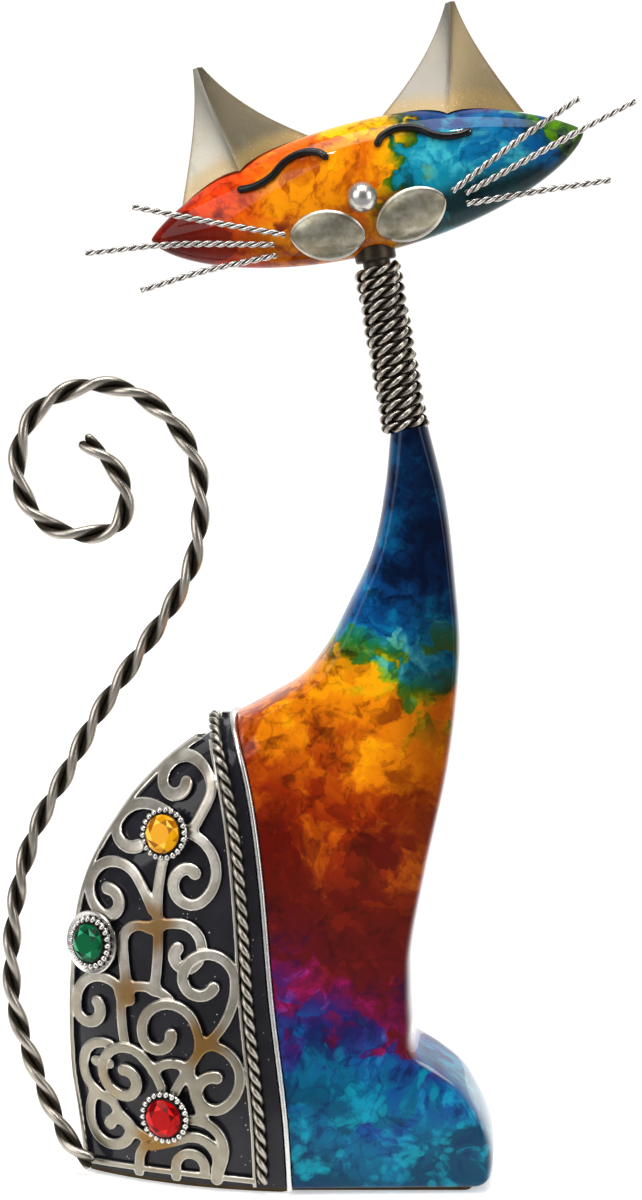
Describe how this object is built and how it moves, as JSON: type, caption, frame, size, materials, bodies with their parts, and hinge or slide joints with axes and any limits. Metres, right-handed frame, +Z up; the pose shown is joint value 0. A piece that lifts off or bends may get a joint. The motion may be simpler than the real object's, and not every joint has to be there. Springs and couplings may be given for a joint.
{
  "type": "cat figurine",
  "caption": "Seated sheet-metal cat ornament with enamelled body, openwork haunch, curled wire tail, wrapped neck and a wide tilted head.",
  "frame": {"origin": "middle of the footprint, on the underside of the base plate", "axes": "+Z up, +X towards the paw, -Y towards the side with the face"},
  "size_m": [0.19, 0.0534, 0.352],
  "materials": {
    "bronze": "dark bronzed sheet",
    "enamel": "blended ink colours under a thick clear gloss coat",
    "bright_silver": "bright silver plating",
    "black_lacquer": "glossy black lacquer",
    "warm_nickel": "satin warm nickel with bright cut edges and amber solder marks",
    "dark_nickel": "antiqued dark nickel wire",
    "champagne_metal": "satin champagne silver, bronzed towards the edges",
    "yellow_stone": "faceted amber yellow stone",
    "green_stone": "faceted emerald green stone",
    "red_stone": "faceted ruby red stone"
  },
  "bodies": {
    "root": {"base_plate": "bronze", "body": "enamel", "divider_strip": "bright_silver", "haunch_shell": "black_lacquer", "haunch_rim": "warm_nickel", "openwork_near": "warm_nickel", "openwork_far": "warm_nickel", "rope_trim": "dark_nickel", "tail": "dark_nickel", "yellow_jewel_setting": "bright_silver", "yellow_jewel": "yellow_stone", "green_jewel_setting": "bright_silver", "green_jewel": "green_stone", "red_jewel_setting": "bright_silver", "red_jewel": "red_stone", "neck_post": "dark_nickel", "neck_wrap": "dark_nickel", "head": "enamel", "nose": "bright_silver", "left_ear": "champagne_metal", "left_brow": "black_lacquer", "left_muzzle_plate": "champagne_metal", "right_ear": "champagne_metal", "right_brow": "black_lacquer", "right_muzzle_plate": "champagne_metal", "right_upper_whisker": "bright_silver", "right_middle_whisker": "bright_silver", "right_lower_whisker": "bright_silver", "left_upper_whisker": "bright_silver", "left_middle_whisker": "bright_silver", "left_lower_whisker": "bright_silver"}
  },
  "joints": []
}
